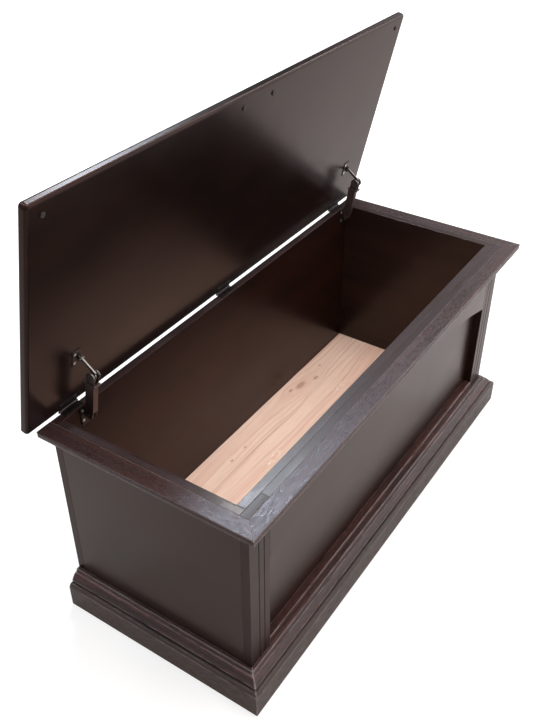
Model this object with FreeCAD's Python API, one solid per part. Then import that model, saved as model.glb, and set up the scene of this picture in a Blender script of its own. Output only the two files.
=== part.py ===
import FreeCAD, Part
import math
import os

from FreeCAD import Vector

# Blanket chest: a sheet-sided box with an applied front frame, a mitred band round the rim,
# a mitred plinth with a cap moulding, cedar floor boards and one slab lid on three butt
# hinges, held by two folding spring supports.
# Millimetres. +X runs along the chest to the right, +Y to the back, +Z up.
# The origin is on the floor, under the middle of the whole chest with its lid open.

# ---- overall case --------------------------------------------------------------------
RIM_LENGTH = 1182.0        # over the rim band, left to right
RIM_DEPTH = 490.0          # over the rim band, front edge to the back face
RIM_HEIGHT = 498.0         # floor to the top of the walls
BACK_Y = 233.85            # the back face; this centres the open chest on the origin
FRONT_Y = BACK_Y - RIM_DEPTH
BAND_OVERHANG = 36.0       # the band and the plinth stand this far out of the walls
SHEET = 18.0               # side, back and inner front sheets, and the front frame
FRAME_BOTTOM = 4.0         # sheets and frame stop short of the floor

# ---- rim band section ----------------------------------------------------------------
BAND_THICK = 19.0
BAND_BEAD_R = 2.6
BAND_QUIRK = 1.2
BAND_SET_BACK = 1.0
BAND_COVE = (5.0, 6.0)     # in, up

# ---- front frame ---------------------------------------------------------------------
STILE_WIDTH = 64.0
RAIL_END_Z = 344.0         # the arched top rail's lower edge at the stiles
RAIL_MIDDLE_Z = 420.0      # and at the middle
BOTTOM_RAIL_Z = 108.0
STILE_GROOVES = (29.0, 46.0)
GROOVE_WIDTH = 3.2
GROOVE_DEPTH = 2.0
JOINT_CHAMFER = 0.5
RAIL_ROUND = 2.0

# ---- plinth and its cap moulding -----------------------------------------------------
PLINTH_HEIGHT = 63.5
PLINTH_ROUND = 6.2
PLINTH_SHOULDER = 1.2      # the round stops this far inside the plinth's face
CAP_TOP_Z = 88.0
FOOT_CHAMFER = 1.0

# ---- floor ---------------------------------------------------------------------------
FLOOR_TOP_Z = 77.0
FLOOR_THICK = 12.0
FLOOR_BOARDS = 5
BOARD_GAP = 0.6
BOARD_ARRIS = 0.8
CLEAT = 18.0

# ---- lid -----------------------------------------------------------------------------
LID_LENGTH = 1220.0
LID_DEPTH = 505.0
LID_THICK = 19.0
LID_GAP = 2.6              # closed lid above the rim
LID_ROUND = 6.0
LID_CORNER = 8.0
LID_BACK_ROUND = 0.8
LID_OPEN_DEG = 77.0
BUMPER_R = 5.0
BUMPER_THICK = 2.3
BUMPER_ROUND = 1.0
BUMPER_INSET = 28.0
BUMPER_X = (-576.0, -50.0, 50.0, 576.0)

# ---- butt hinges ---------------------------------------------------------------------
HINGE_X = (-504.0, 0.0, 504.0)
HINGE_NAMES = ("left", "middle", "right")
HINGE_WIDTH = 48.0
LEAF_REACH = 15.0
LEAF_THICK = 1.1
BARREL_R = 2.6
BARREL_OUT = 2.9           # barrel centre behind the back face
PIN_R = 1.1
FIT = 0.05                 # radial running clearance on every pivot
KNUCKLES = 5
KNUCKLE_GAP = 0.4
PIN_HEAD_R = 2.0
PIN_HEAD = 1.2
AXIS_Y = BACK_Y + BARREL_OUT
AXIS_Z = RIM_HEIGHT + LID_GAP / 2

# ---- screws --------------------------------------------------------------------------
SCREW_R = 1.7
SCREW_HEAD_R = 3.2
SCREW_HEAD = 1.1
SCREW_LENGTH = 11.0
SCREW_TIP = 2.5
SCREW_TIP_R = 0.3
LEAF_SCREW_X = (-17.0, 0.0, 17.0)
LEAF_SCREW_Y = (9.5, 12.0, 9.5)    # in from the back face
SLOT_LENGTH = 3.8
SLOT_WIDTH = 0.9
SLOT_DEPTH = 0.6

# ---- spring lid supports: side view places (ahead of the lid axis, above it), lid open ----
SUPPORT_X = {"left": -479.0, "right": 521.0}
PIVOT_A = (33.4, -22.2)            # arm on the base bracket
PIVOT_B = (55.3, 80.1)             # elbow
PIVOT_C_ALONG = 114.7              # link on the lid bracket: out along the lid
PIVOT_C_BELOW = 4.9                # and below the axis with the lid shut
ELBOW_BEND = (60.0, 88.5)
BRACKET_PLATE = 2.0
BRACKET_X = (-17.0, 14.0)
BRACKET_Z = (-44.0, -3.0)          # below the rim
BRACKET_SCREWS = ((-11.5, -9.5), (-11.5, -33.0), (9.5, -36.0))
EAR_THICK = 1.5
BASE_EAR_X = 3.1
BASE_EAR_R = 5.5
BASE_EAR_FOOT = 8.0
SUPPORT_PIN_R = 2.0
BASE_PIN_HALF = 7.6
BASE_PIN_HEAD = 1.2
BASE_PIN_HEAD_R = 3.6
SPRING_BORE_R = 2.9
SPRING_COIL_R = 3.4                # middle of the wire
SPRING_TURNS = 4
SPRING_WIRE = 1.2
SPRING_LEG_R = 0.45
ARM_LEAN_DEG = 10.0                # the channel's own lean from upright
ARM_HALF_WIDTH = 6.5
ARM_HALF_DEPTH = 10.0
ARM_WALL = 1.5
ARM_FOOT_R = 7.5
ARM_WEB_START = 12.0               # the channel and its front web, up the arm from the base pivot
ARM_CHANNEL = 87.0
ELBOW_EAR_R = 9.5
LIP_THICK = 3.4
LIP_OUT = 2.0
LIP_BACK = 12.0
LIP_FRONT = 15.5
CAP_R = 11.0
CAP_THICK = 2.4
CAP_ROUND = 1.0
LINK_HALF_THICK = 1.5
LINK_HALF_WIDTH = 3.0
LINK_C_R = 4.0
LINK_B_R = 7.6
LINK_B_HOLE_R = 4.6                # wide, for the elbow's small wander
LID_PLATE = 1.5
LID_PLATE_X = (-18.0, 4.5)
LID_PLATE_ALONG = (99.0, 137.0)
LID_BRACKET_SCREWS = ((-12.5, 107.5), (-12.5, 129.0))
LID_EAR_X = 1.9
LID_EAR_R = 4.2
LID_EAR_FOOT = 7.0
LID_PIN_R = 1.8
LID_PIN_HALF = 4.2
LID_PIN_HEAD = 1.0
LID_PIN_HEAD_R = 3.0

# ---- derived -------------------------------------------------------------------------
HALF = RIM_LENGTH / 2
WALL_X = HALF - BAND_OVERHANG              # outer face of the side sheets
INNER_X = WALL_X - SHEET
FACE_Y = FRONT_Y + BAND_OVERHANG           # outer face of the front frame
PANEL_Y = FACE_Y + SHEET                   # face of the recessed front sheet
INNER_FRONT_Y = PANEL_Y + SHEET
INNER_BACK_Y = BACK_Y - SHEET
STILE_X = WALL_X - STILE_WIDTH
LID_UNDER_Z = RIM_HEIGHT + LID_GAP
CLEAT_TOP_Z = FLOOR_TOP_Z - FLOOR_THICK
X_AXIS = Vector(1, 0, 0)


# ---- small helpers -------------------------------------------------------------------
def block(x0, x1, y0, y1, z0, z1):
    """A box between two corners."""
    return Part.makeBox(x1 - x0, y1 - y0, z1 - z0, Vector(x0, y0, z0))


def rod_x(x0, x1, y, z, radius):
    """A round bar along X."""
    return Part.makeCylinder(radius, x1 - x0, Vector(x0, y, z), X_AXIS)


def prism(points, direction):
    """A flat outline pushed along a direction."""
    face = Part.Face(Part.makePolygon(points + points[:1]))
    return face.extrude(direction)


def outline_face(steps):
    """A face from a closed outline: each step is (end,) for a line or (middle, end) for an arc."""
    edges = []
    here = steps[0][-1]
    for step in steps[1:] + steps[:1]:
        end = step[-1]
        if len(step) == 2:
            edges.append(Part.Arc(here, step[0], end).toShape())
        else:
            edges.append(Part.makeLine(here, end))
        here = end
    return Part.Face(Part.Wire(edges))


def edges_where(shape, test):
    """Edges whose middle point passes a test."""
    found = []
    for edge in shape.Edges:
        first, last = edge.ParameterRange
        if test(edge.valueAt((first + last) / 2)):
            found.append(edge)
    return found


def near(value, target):
    return abs(value - target) < 0.01


def eased(shape, amount=JOINT_CHAMFER):
    """A board with every arris taken off a little, so that its joints show as fine lines."""
    return shape.makeChamfer(amount, shape.Edges)


def save(name, shape):
    shape.exportStep("parts/" + name + ".step")


# ---- mouldings that go round the front and the two sides -------------------------------
def front_plan():
    """Plan of the front length, mitred at both ends."""
    return [Vector(-HALF, FRONT_Y, -1), Vector(HALF, FRONT_Y, -1),
            Vector(WALL_X, FACE_Y, -1), Vector(-WALL_X, FACE_Y, -1)]


def side_plan(side):
    """Plan of a side length, mitred in front and square at the back."""
    return [Vector(side * HALF, FRONT_Y, -1), Vector(side * WALL_X, FACE_Y, -1),
            Vector(side * WALL_X, BACK_Y, -1), Vector(side * HALF, BACK_Y, -1)]


def moulding(section, side):
    """One mitred length: side 0 is the front, -1 the left and +1 the right.
    The section lists (out of the wall, height) steps like outline_face."""
    def place(out, height):
        if side == 0:
            return Vector(-HALF, FACE_Y - out, height)
        return Vector(side * (WALL_X + out), FRONT_Y, height)

    steps = [tuple(place(out, height) for out, height in step) for step in section]
    run = Vector(RIM_LENGTH, 0, 0) if side == 0 else Vector(0, RIM_DEPTH, 0)
    length = outline_face(steps).extrude(run)
    plan = front_plan() if side == 0 else side_plan(side)
    return length.common(prism(plan, Vector(0, 0, RIM_HEIGHT + 2)))


def band_section():
    """Rim band: a bead on the top edge, a quirk under it, a flat, and a cove below."""
    top = RIM_HEIGHT
    low = RIM_HEIGHT - BAND_THICK
    out = BAND_OVERHANG
    neck = out - BAND_BEAD_R
    flat = out - BAND_SET_BACK
    bead_low = top - 2 * BAND_BEAD_R
    cove_in, cove_up = BAND_COVE
    return [((0, low),), ((flat - cove_in, low),),
            ((flat - cove_in * 0.7, low + cove_up * 0.7), (flat, low + cove_up)),
            ((flat, bead_low - BAND_QUIRK),), ((neck, bead_low - BAND_QUIRK),),
            ((neck, bead_low),), ((out, top - BAND_BEAD_R), (neck, top)), ((0, top),)]


def plinth_section():
    """Plinth board with a round and a narrow shoulder on its top edge, and a small foot chamfer."""
    out = BAND_OVERHANG
    turn = PLINTH_ROUND
    half_turn = turn * (1 - math.sqrt(0.5))
    flat = out - PLINTH_SHOULDER
    low = PLINTH_HEIGHT - turn
    return [((0, 0),), ((out - FOOT_CHAMFER, 0),), ((out, FOOT_CHAMFER),),
            ((out, low - PLINTH_SHOULDER),), ((flat, low),),
            ((flat - half_turn, PLINTH_HEIGHT - half_turn), (flat - turn, PLINTH_HEIGHT)),
            ((0, PLINTH_HEIGHT),)]


def cap_section():
    """Cap moulding, from its quirk on the plinth up: long ovolo, narrow step, cove and nosing."""
    foot = PLINTH_HEIGHT
    return [((0, foot),), ((23, foot),), ((23, 66),), ((25, 66),), ((25, 67.5),),
            ((20.3, 74.8), (13.4, 81.6)), ((10.5, 81.6),),
            ((8.9, 83.2), (8.4, 86)), ((7.7, 87.4), (6, CAP_TOP_Z)), ((0, CAP_TOP_Z),)]


# ---- case ----------------------------------------------------------------------------
def side_panel(side):
    x0, x1 = sorted((side * INNER_X, side * WALL_X))
    return eased(block(x0, x1, PANEL_Y, INNER_BACK_Y, FRAME_BOTTOM, RIM_HEIGHT))


def back_panel():
    return eased(block(-WALL_X, WALL_X, INNER_BACK_Y, BACK_Y, 0, RIM_HEIGHT))


def inner_front_panel():
    return eased(block(-INNER_X, INNER_X, PANEL_Y, INNER_FRONT_Y, FRAME_BOTTOM, RIM_HEIGHT))


def front_stile(side):
    """Stile with two V grooves down its face."""
    x0, x1 = sorted((side * STILE_X, side * WALL_X))
    stile = eased(block(x0, x1, FACE_Y, PANEL_Y, FRAME_BOTTOM, RIM_HEIGHT))
    for inset in STILE_GROOVES:
        x = side * (WALL_X - inset)
        vee = prism([Vector(x - GROOVE_WIDTH / 2, FACE_Y, 0), Vector(x, FACE_Y + GROOVE_DEPTH, 0),
                     Vector(x + GROOVE_WIDTH / 2, FACE_Y, 0)], Vector(0, 0, RIM_HEIGHT))
        stile = stile.cut(vee)
    return stile


def front_top_rail():
    """Top rail whose lower edge is one low arch between the stiles."""
    def at(x, z):
        return Vector(x, FACE_Y, z)

    face = outline_face([(at(-STILE_X, RAIL_END_Z),),
                         (at(0, RAIL_MIDDLE_Z), at(STILE_X, RAIL_END_Z)),
                         (at(STILE_X, RIM_HEIGHT),), (at(-STILE_X, RIM_HEIGHT),)])
    rail = face.extrude(Vector(0, SHEET, 0))
    ends = edges_where(rail, lambda p: near(p.y, FACE_Y) and near(abs(p.x), STILE_X))
    return rail.makeChamfer(JOINT_CHAMFER, ends)


def front_bottom_rail():
    """Bottom rail with its top front arris rounded."""
    rail = block(-STILE_X, STILE_X, FACE_Y, PANEL_Y, FRAME_BOTTOM, BOTTOM_RAIL_Z)
    top = edges_where(rail, lambda p: near(p.y, FACE_Y) and near(p.z, BOTTOM_RAIL_Z))
    return rail.makeFillet(RAIL_ROUND, top)


def floor_board(number):
    """One lengthwise floor board, its long top arrises eased."""
    pitch = (INNER_BACK_Y - INNER_FRONT_Y) / FLOOR_BOARDS
    y0 = INNER_FRONT_Y + number * pitch + BOARD_GAP / 2
    y1 = y0 + pitch - BOARD_GAP
    board = block(-INNER_X, INNER_X, y0, y1, CLEAT_TOP_Z, FLOOR_TOP_Z)
    long_top = edges_where(board, lambda p: near(p.z, FLOOR_TOP_Z) and near(p.x, 0))
    return board.makeChamfer(BOARD_ARRIS, long_top)


def floor_cleat(where):
    """A square cleat under the floor, along one wall."""
    z0 = CLEAT_TOP_Z - CLEAT
    if where == "front":
        return block(-INNER_X, INNER_X, INNER_FRONT_Y, INNER_FRONT_Y + CLEAT, z0, CLEAT_TOP_Z)
    if where == "back":
        return block(-INNER_X, INNER_X, INNER_BACK_Y - CLEAT, INNER_BACK_Y, z0, CLEAT_TOP_Z)
    y0 = INNER_FRONT_Y + CLEAT
    y1 = INNER_BACK_Y - CLEAT
    if where == "left":
        return block(-INNER_X, -INNER_X + CLEAT, y0, y1, z0, CLEAT_TOP_Z)
    return block(INNER_X - CLEAT, INNER_X, y0, y1, z0, CLEAT_TOP_Z)


# ---- lid, drawn shut and then swung open ------------------------------------------------
def swung(shape):
    """The shut lid's piece turned about the hinge axis to where the lid stands open."""
    opened = shape.copy()
    opened.rotate(Vector(0, AXIS_Y, AXIS_Z), X_AXIS, -LID_OPEN_DEG)
    return opened


def screw_holes(shape, screws):
    """Cut the screws' own solids out of a piece that they pass into."""
    for screw in screws:
        shape = shape.cut(screw)
    return shape


def lid_panel_shut():
    """One slab with its front and end edges rounded over, above and below."""
    half = LID_LENGTH / 2
    front = BACK_Y - LID_DEPTH
    top = LID_UNDER_Z + LID_THICK
    slab = block(-half, half, front, BACK_Y, LID_UNDER_Z, top)
    corners = edges_where(slab, lambda p: near(p.y, front) and near(abs(p.x), half))
    slab = slab.makeFillet(LID_CORNER, corners)
    rims = edges_where(slab, lambda p: (near(p.z, LID_UNDER_Z) or near(p.z, top)) and not near(p.y, BACK_Y))
    slab = slab.makeFillet(LID_ROUND, rims)
    back = edges_where(slab, lambda p: near(p.y, BACK_Y) and near(p.x, 0))
    return slab.makeFillet(LID_BACK_ROUND, back)


def bumpers_shut():
    """Round bumpers under the lid's front edge: one near each corner and two in the middle."""
    y = BACK_Y - LID_DEPTH + BUMPER_INSET
    z = LID_UNDER_Z - BUMPER_THICK
    made = []
    for x in BUMPER_X:
        disc = Part.makeCylinder(BUMPER_R, BUMPER_THICK, Vector(x, y, z))
        low = edges_where(disc, lambda p: near(p.z, z))
        made.append(disc.makeFillet(BUMPER_ROUND, low))
    return made


# ---- screws --------------------------------------------------------------------------
def screw(head_top, into):
    """A flat-head screw: head_top is the middle of its head's face, into points down its shank."""
    into = Vector(into)
    head = Part.makeCone(SCREW_HEAD_R, SCREW_R, SCREW_HEAD, head_top, into)
    straight = SCREW_LENGTH - SCREW_TIP
    shank = Part.makeCylinder(SCREW_R, straight, head_top, into)
    tip = Part.makeCone(SCREW_R, SCREW_TIP_R, SCREW_TIP, head_top + into * straight, into)
    return head.fuse([shank, tip]).removeSplitter()


def slotted(made, head_top, into):
    """The screw with a cross recess cut in its head."""
    across = Vector(0, 0, 1) if abs(into[2]) < 0.5 else Vector(0, 1, 0)
    for long_way, short_way in ((X_AXIS, across), (across, X_AXIS)):
        corner = head_top - long_way * (SLOT_LENGTH / 2) - short_way * (SLOT_WIDTH / 2)
        far = corner + long_way * SLOT_LENGTH
        points = [corner, far, far + short_way * SLOT_WIDTH, corner + short_way * SLOT_WIDTH]
        made = made.cut(prism(points, Vector(into) * SLOT_DEPTH))
    return made


def hinge_screw_places(x_mid):
    return [(x_mid + dx, BACK_Y - inset) for dx, inset in zip(LEAF_SCREW_X, LEAF_SCREW_Y)]


def hinge_box_screws(x_mid):
    top = RIM_HEIGHT + LEAF_THICK
    return [screw(Vector(x, y, top), (0, 0, -1)) for x, y in hinge_screw_places(x_mid)]


def hinge_lid_screws_shut(x_mid):
    low = LID_UNDER_Z - LEAF_THICK
    return [screw(Vector(x, y, low), (0, 0, 1)) for x, y in hinge_screw_places(x_mid)]


def base_screws(x_mid):
    y = INNER_BACK_Y - BRACKET_PLATE
    return [screw(Vector(x_mid + dx, y, RIM_HEIGHT + dz), (0, 1, 0)) for dx, dz in BRACKET_SCREWS]


def lid_bracket_screws_shut(x_mid):
    z = LID_UNDER_Z - LID_PLATE
    return [screw(Vector(x_mid + dx, AXIS_Y - along, z), (0, 0, 1)) for dx, along in LID_BRACKET_SCREWS]


# ---- butt hinges ---------------------------------------------------------------------
def knuckle_spans(x_mid, first):
    """X spans of every other knuckle, from knuckle number first."""
    pitch = HINGE_WIDTH / KNUCKLES
    start = x_mid - HINGE_WIDTH / 2
    spans = []
    for number in range(first, KNUCKLES, 2):
        spans.append((start + number * pitch + KNUCKLE_GAP / 2, start + (number + 1) * pitch - KNUCKLE_GAP / 2))
    return spans


def hinge_leaf(x_mid, first, z0, z1):
    """A leaf flat on its board, with its own knuckles round the pin."""
    clear_y = AXIS_Y - BARREL_R - KNUCKLE_GAP
    leaf = block(x_mid - HINGE_WIDTH / 2, x_mid + HINGE_WIDTH / 2, BACK_Y - LEAF_REACH, clear_y, z0, z1)
    for x0, x1 in knuckle_spans(x_mid, first):
        strap = block(x0, x1, clear_y - 1, AXIS_Y, z0, z1)
        leaf = leaf.fuse([strap, rod_x(x0, x1, AXIS_Y, AXIS_Z, BARREL_R)])
    bore = rod_x(x_mid - HINGE_WIDTH, x_mid + HINGE_WIDTH, AXIS_Y, AXIS_Z, PIN_R + FIT)
    return leaf.cut(bore).removeSplitter()


def hinge_pin(x_mid):
    """The pin with a flat head at each end of the barrel."""
    x0 = x_mid - HINGE_WIDTH / 2
    x1 = x_mid + HINGE_WIDTH / 2
    pin = rod_x(x0 - PIN_HEAD, x1 + PIN_HEAD, AXIS_Y, AXIS_Z, PIN_R)
    head_left = rod_x(x0 - PIN_HEAD, x0, AXIS_Y, AXIS_Z, PIN_HEAD_R)
    head_right = rod_x(x1, x1 + PIN_HEAD, AXIS_Y, AXIS_Z, PIN_HEAD_R)
    return pin.fuse([head_left, head_right])


# ---- spring lid supports -------------------------------------------------------------
def side_point(x, place):
    """A side-view place (ahead of the lid axis, above it) on the plane of one x."""
    return Vector(x, AXIS_Y - place[0], AXIS_Z + place[1])


def plate_x(x0, x1, places):
    """A flat plate lying across X, from its side-view outline."""
    return prism([side_point(x0, place) for place in places], Vector(x1 - x0, 0, 0))


def disc_x(x0, x1, place, radius):
    centre = side_point(x0, place)
    return rod_x(x0, x1, centre.y, centre.z, radius)


def bar_outline(start, end, half_width):
    """Side-view corners of a straight bar between two places."""
    length = math.hypot(end[0] - start[0], end[1] - start[1])
    nx = -(end[1] - start[1]) / length * half_width
    nz = (end[0] - start[0]) / length * half_width
    return [(start[0] + nx, start[1] + nz), (end[0] + nx, end[1] + nz),
            (end[0] - nx, end[1] - nz), (start[0] - nx, start[1] - nz)]


def pivot_c_open():
    """The link's pivot on the lid bracket with the lid open."""
    turn = math.radians(LID_OPEN_DEG)
    return (PIVOT_C_ALONG * math.cos(turn) + PIVOT_C_BELOW * math.sin(turn),
            PIVOT_C_ALONG * math.sin(turn) - PIVOT_C_BELOW * math.cos(turn))


def arm_place(along, out):
    """Side-view place at a distance up the arm from its base pivot and out of its front."""
    lean = math.radians(ARM_LEAN_DEG)
    return (PIVOT_A[0] + along * math.sin(lean) + out * math.cos(lean),
            PIVOT_A[1] + along * math.cos(lean) - out * math.sin(lean))


def base_bracket(x_mid):
    """Plate on the inside of the back, with two ears for the arm's pivot."""
    wall = AXIS_Y - INNER_BACK_Y
    front = wall + BRACKET_PLATE
    plate = block(x_mid + BRACKET_X[0], x_mid + BRACKET_X[1], INNER_BACK_Y - BRACKET_PLATE, INNER_BACK_Y,
                  RIM_HEIGHT + BRACKET_Z[0], RIM_HEIGHT + BRACKET_Z[1])
    corners = edges_where(plate, lambda p: near(p.y, INNER_BACK_Y - BRACKET_PLATE / 2))
    bracket = plate.makeFillet(3.0, corners)
    low = PIVOT_A[1]
    for side in (-1, 1):
        x0, x1 = sorted((x_mid + side * BASE_EAR_X, x_mid + side * (BASE_EAR_X + EAR_THICK)))
        web = plate_x(x0, x1, [(front - 0.5, low - BASE_EAR_FOOT), (front - 0.5, low + BASE_EAR_FOOT),
                               (PIVOT_A[0], low + BASE_EAR_R), (PIVOT_A[0], low - BASE_EAR_R)])
        bracket = bracket.fuse([web, disc_x(x0, x1, PIVOT_A, BASE_EAR_R)])
    bracket = bracket.cut(disc_x(x_mid - 20, x_mid + 20, PIVOT_A, SUPPORT_PIN_R + FIT))
    return screw_holes(bracket.removeSplitter(), base_screws(x_mid))


def base_pin(x_mid):
    """Rivet through the bracket's ears and the arm, with a flat head at both ends."""
    half = BASE_PIN_HALF
    pin = disc_x(x_mid - half, x_mid + half, PIVOT_A, SUPPORT_PIN_R)
    head_left = disc_x(x_mid - half - BASE_PIN_HEAD, x_mid - half, PIVOT_A, BASE_PIN_HEAD_R)
    head_right = disc_x(x_mid + half, x_mid + half + BASE_PIN_HEAD, PIVOT_A, BASE_PIN_HEAD_R)
    return pin.fuse([head_left, head_right])


def support_spring(x_mid):
    """Torsion spring, close wound round the base rivet between the ears, one leg on the plate."""
    def at(x, radius):
        return side_point(x, (PIVOT_A[0], PIVOT_A[1] + radius))

    start = x_mid - SPRING_TURNS * SPRING_WIRE / 2
    steps = [(at(start, SPRING_BORE_R),), (at(start, SPRING_COIL_R),)]
    for turn in range(SPRING_TURNS):
        x0 = start + turn * SPRING_WIRE
        steps.append((at(x0 + SPRING_WIRE / 2, SPRING_COIL_R + SPRING_WIRE / 2),
                      at(x0 + SPRING_WIRE, SPRING_COIL_R)))
    steps.append((at(start + SPRING_TURNS * SPRING_WIRE, SPRING_BORE_R),))
    coil = outline_face(steps).revolve(side_point(x_mid, PIVOT_A), X_AXIS, 360)
    foot = side_point(start + SPRING_WIRE / 2, (PIVOT_A[0], PIVOT_A[1] - SPRING_COIL_R))
    reach = INNER_BACK_Y - BRACKET_PLATE - foot.y
    leg = Part.makeCylinder(SPRING_LEG_R, reach, foot, Vector(0, 1, 0))
    return coil.fuse(leg).removeSplitter()


def support_arm(x_mid):
    """Channel arm, its web in front, with a lip round its top and two ears for the elbow rivet."""
    outer = ARM_HALF_WIDTH
    inner = outer - ARM_WALL
    deep = ARM_HALF_DEPTH
    start = ARM_WEB_START
    top = ARM_CHANNEL
    walls = []
    for side in (-1, 1):
        x0, x1 = sorted((x_mid + side * inner, x_mid + side * outer))
        wall = plate_x(x0, x1, [arm_place(start, -deep), arm_place(top, -deep),
                                arm_place(top, deep), arm_place(start, deep)])
        foot = plate_x(x0, x1, [arm_place(0, -ARM_FOOT_R), arm_place(start, -deep),
                                arm_place(start, deep), arm_place(0, ARM_FOOT_R)])
        ear = plate_x(x0, x1, bar_outline(arm_place(top - deep, 0), PIVOT_B, ELBOW_EAR_R))
        walls += [wall, foot, ear, disc_x(x0, x1, PIVOT_A, ARM_FOOT_R),
                  disc_x(x0, x1, PIVOT_B, ELBOW_EAR_R)]
    web = plate_x(x_mid - outer, x_mid + outer,
                  [arm_place(start, deep - ARM_WALL), arm_place(top, deep - ARM_WALL),
                   arm_place(top, deep), arm_place(start, deep)])
    lip = plate_x(x_mid - outer - LIP_OUT, x_mid + outer + LIP_OUT,
                  [arm_place(top - LIP_THICK, -LIP_BACK), arm_place(top, -LIP_BACK),
                   arm_place(top, LIP_FRONT), arm_place(top - LIP_THICK, LIP_FRONT)])
    hollow = plate_x(x_mid - inner, x_mid + inner,
                     [arm_place(-20, -40), arm_place(top + 40, -40),
                      arm_place(top + 40, deep - ARM_WALL), arm_place(-20, deep - ARM_WALL)])
    arm = web.fuse(walls + [lip]).removeSplitter().cut(hollow)
    for place in (PIVOT_A, PIVOT_B):
        arm = arm.cut(disc_x(x_mid - 20, x_mid + 20, place, SUPPORT_PIN_R + FIT))
    return arm


def elbow_pin(x_mid):
    """Rivet across the arm's ears with a round cap on each side."""
    outer = ARM_HALF_WIDTH + FIT
    made = disc_x(x_mid - outer - CAP_THICK, x_mid + outer + CAP_THICK, PIVOT_B, SUPPORT_PIN_R)
    for side in (-1, 1):
        x0, x1 = sorted((x_mid + side * outer, x_mid + side * (outer + CAP_THICK)))
        cap = disc_x(x0, x1, PIVOT_B, CAP_R)
        rim = edges_where(cap, lambda p, x=x_mid + side * (outer + CAP_THICK): near(p.x, x))
        made = made.fuse(cap.makeFillet(CAP_ROUND, rim))
    return made.removeSplitter()


def support_link(x_mid):
    """Thin bent link from the lid bracket down to the elbow."""
    x0 = x_mid - LINK_HALF_THICK
    x1 = x_mid + LINK_HALF_THICK
    lid_end = pivot_c_open()
    link = disc_x(x0, x1, lid_end, LINK_C_R)
    link = link.fuse([disc_x(x0, x1, PIVOT_B, LINK_B_R), disc_x(x0, x1, ELBOW_BEND, LINK_HALF_WIDTH),
                      plate_x(x0, x1, bar_outline(lid_end, ELBOW_BEND, LINK_HALF_WIDTH)),
                      plate_x(x0, x1, bar_outline(ELBOW_BEND, PIVOT_B, LINK_HALF_WIDTH))])
    link = link.cut(disc_x(x0 - 1, x1 + 1, lid_end, LID_PIN_R + FIT))
    return link.cut(disc_x(x0 - 1, x1 + 1, PIVOT_B, LINK_B_HOLE_R)).removeSplitter()


def lid_bracket_shut(x_mid):
    """Plate under the lid with a small clevis for the link."""
    top = LID_UNDER_Z
    plate = block(x_mid + LID_PLATE_X[0], x_mid + LID_PLATE_X[1], AXIS_Y - LID_PLATE_ALONG[1],
                  AXIS_Y - LID_PLATE_ALONG[0], top - LID_PLATE, top)
    corners = edges_where(plate, lambda p: near(p.z, top - LID_PLATE / 2))
    bracket = plate.makeFillet(3.0, corners)
    centre = (PIVOT_C_ALONG, -PIVOT_C_BELOW)
    under = LID_GAP / 2 - LID_PLATE / 2
    for side in (-1, 1):
        x0, x1 = sorted((x_mid + side * LID_EAR_X, x_mid + side * (LID_EAR_X + EAR_THICK)))
        web = plate_x(x0, x1, [(centre[0] - LID_EAR_R, centre[1]), (centre[0] + LID_EAR_R, centre[1]),
                               (centre[0] + LID_EAR_FOOT, under), (centre[0] - LID_EAR_FOOT, under)])
        bracket = bracket.fuse([web, disc_x(x0, x1, centre, LID_EAR_R)])
    bracket = bracket.cut(disc_x(x_mid - 20, x_mid + 20, centre, LID_PIN_R + FIT))
    return screw_holes(bracket.removeSplitter(), lid_bracket_screws_shut(x_mid))


def lid_pin_shut(x_mid):
    """Small rivet that the link turns on."""
    centre = (PIVOT_C_ALONG, -PIVOT_C_BELOW)
    pin = disc_x(x_mid - LID_PIN_HALF, x_mid + LID_PIN_HALF, centre, LID_PIN_R)
    head_left = disc_x(x_mid - LID_PIN_HALF - LID_PIN_HEAD, x_mid - LID_PIN_HALF, centre, LID_PIN_HEAD_R)
    head_right = disc_x(x_mid + LID_PIN_HALF, x_mid + LID_PIN_HALF + LID_PIN_HEAD, centre, LID_PIN_HEAD_R)
    return pin.fuse([head_left, head_right])


# ---- everything ----------------------------------------------------------------------
def with_slots(screws, heads, into):
    return [slotted(made, head, into) for made, head in zip(screws, heads)]


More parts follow.
